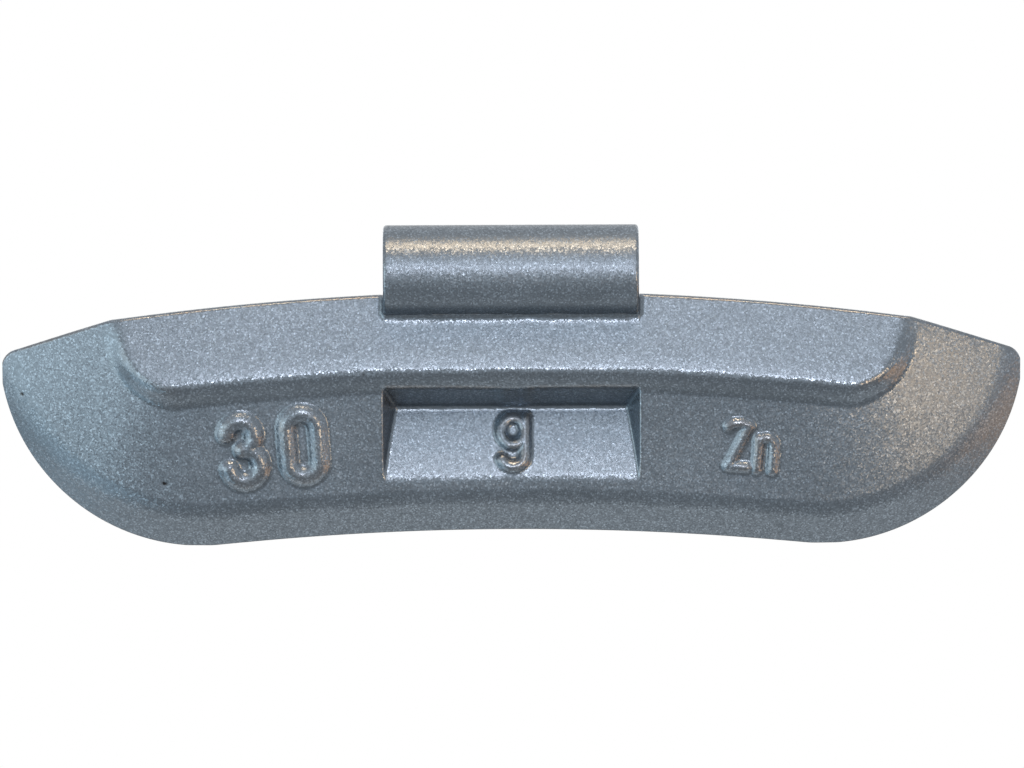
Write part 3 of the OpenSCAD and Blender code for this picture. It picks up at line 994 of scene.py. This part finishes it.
class WEIGHT_OT_casting(bpy.types.Operator):
    """Makes the zinc casting with its raised figures"""

    bl_idname = "weight.casting"
    bl_label = "Casting"

    def execute(self, context):
        scene = context.scene
        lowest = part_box("weight_body")[0][2] / MM
        casting = Casting(scene.weight_casting, plain_sizes(scene.weight_clip), lowest)
        points, x, z, y = skin_points(casting)
        mesh = closed_grid(points, "cast_body")
        pits = casting.pits(np.broadcast_to(x[:, None], z.shape), z)
        edge = np.zeros(points.shape[:2])
        # Pits lower the edge attribute, so that they take the painted shade
        edge[:, :z.shape[1]] = edge_mask(x, z, y) - pits / PIT_UNIT
        put_edge(mesh, edge)
        material = coat_material("coated zinc", scene.weight_colours, peel=1.0, wear_and_sheen=0.25)
        finish_piece(mesh, material, "weight_body")
        return {"FINISHED"}


class WEIGHT_OT_clip(bpy.types.Operator):
    """Makes the bent spring clip"""

    bl_idname = "weight.clip"
    bl_label = "Spring clip"

    def execute(self, context):
        scene = context.scene
        c = plain_sizes(scene.weight_clip)
        c["seat_back"] = plain_sizes(scene.weight_casting)["seat_back"]
        path, heading = strip_path(c, STRIP_SPACING)
        outline = strip_section(c["clip_w"] / 2, c["clip_t"] / 2, c["edge_r"])
        points = sweep(path, heading, outline, c["edge_r"])
        mesh = closed_grid(points, "bent_clip")
        # The rounded edges take the brownish tone: partly thin coating, partly a painted warm sheen
        rounded = np.abs(outline[:, 0]) > c["clip_w"] / 2 - c["edge_r"] * STRIP_EDGE_SHARE
        put_edge(mesh, np.tile(rounded * STRIP_EDGE, len(points)))
        material = coat_material("coated spring steel", scene.weight_colours, peel=0.6, wear_and_sheen=0.2)
        finish_piece(mesh, material, "spring_clip")
        return {"FINISHED"}


class WEIGHT_OT_stage(bpy.types.Operator):
    """Makes the pale floor, the soft lamps and the camera"""

    bl_idname = "weight.stage"
    bl_label = "Stage"

    def execute(self, context):
        pale_floor()
        white_world()
        for lamp in LAMPS:
            add_lamp(*lamp)
        add_camera()
        context.scene.view_settings.view_transform = "Standard"
        return {"FINISHED"}


class WEIGHT_PT_panel(bpy.types.Panel):
    """Lists the pieces and their sizes"""

    bl_idname = "WEIGHT_PT_panel"
    bl_label = "Wheel balance weight"
    bl_space_type = "VIEW_3D"
    bl_region_type = "UI"
    bl_category = "Weight"

    def draw(self, context):
        for operator in OPERATORS:
            self.layout.operator(operator.bl_idname)
        for name, kind in GROUPS.items():
            for setting in kind.__annotations__:
                self.layout.prop(getattr(context.scene, name), setting)


OPERATORS = (WEIGHT_OT_casting, WEIGHT_OT_clip, WEIGHT_OT_stage)
GROUPS = {"weight_casting": CastingSizes, "weight_clip": ClipSizes, "weight_colours": CoatColours}
CLASSES = (*GROUPS.values(), *OPERATORS, WEIGHT_PT_panel)


def register():
    """Registers the classes and puts their settings on the scene."""
    for kind in CLASSES:
        bpy.utils.register_class(kind)
    for name, kind in GROUPS.items():
        setattr(bpy.types.Scene, name, PointerProperty(type=kind))


def unregister():
    """Takes the settings off the scene and the classes out again."""
    for name in GROUPS:
        delattr(bpy.types.Scene, name)
    for kind in reversed(CLASSES):
        bpy.utils.unregister_class(kind)


def main():
    """Makes the stage and the two pieces."""
    register()
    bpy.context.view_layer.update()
    bpy.ops.weight.stage()
    bpy.ops.weight.casting()
    bpy.ops.weight.clip()


if __name__ == "__main__":
    main()
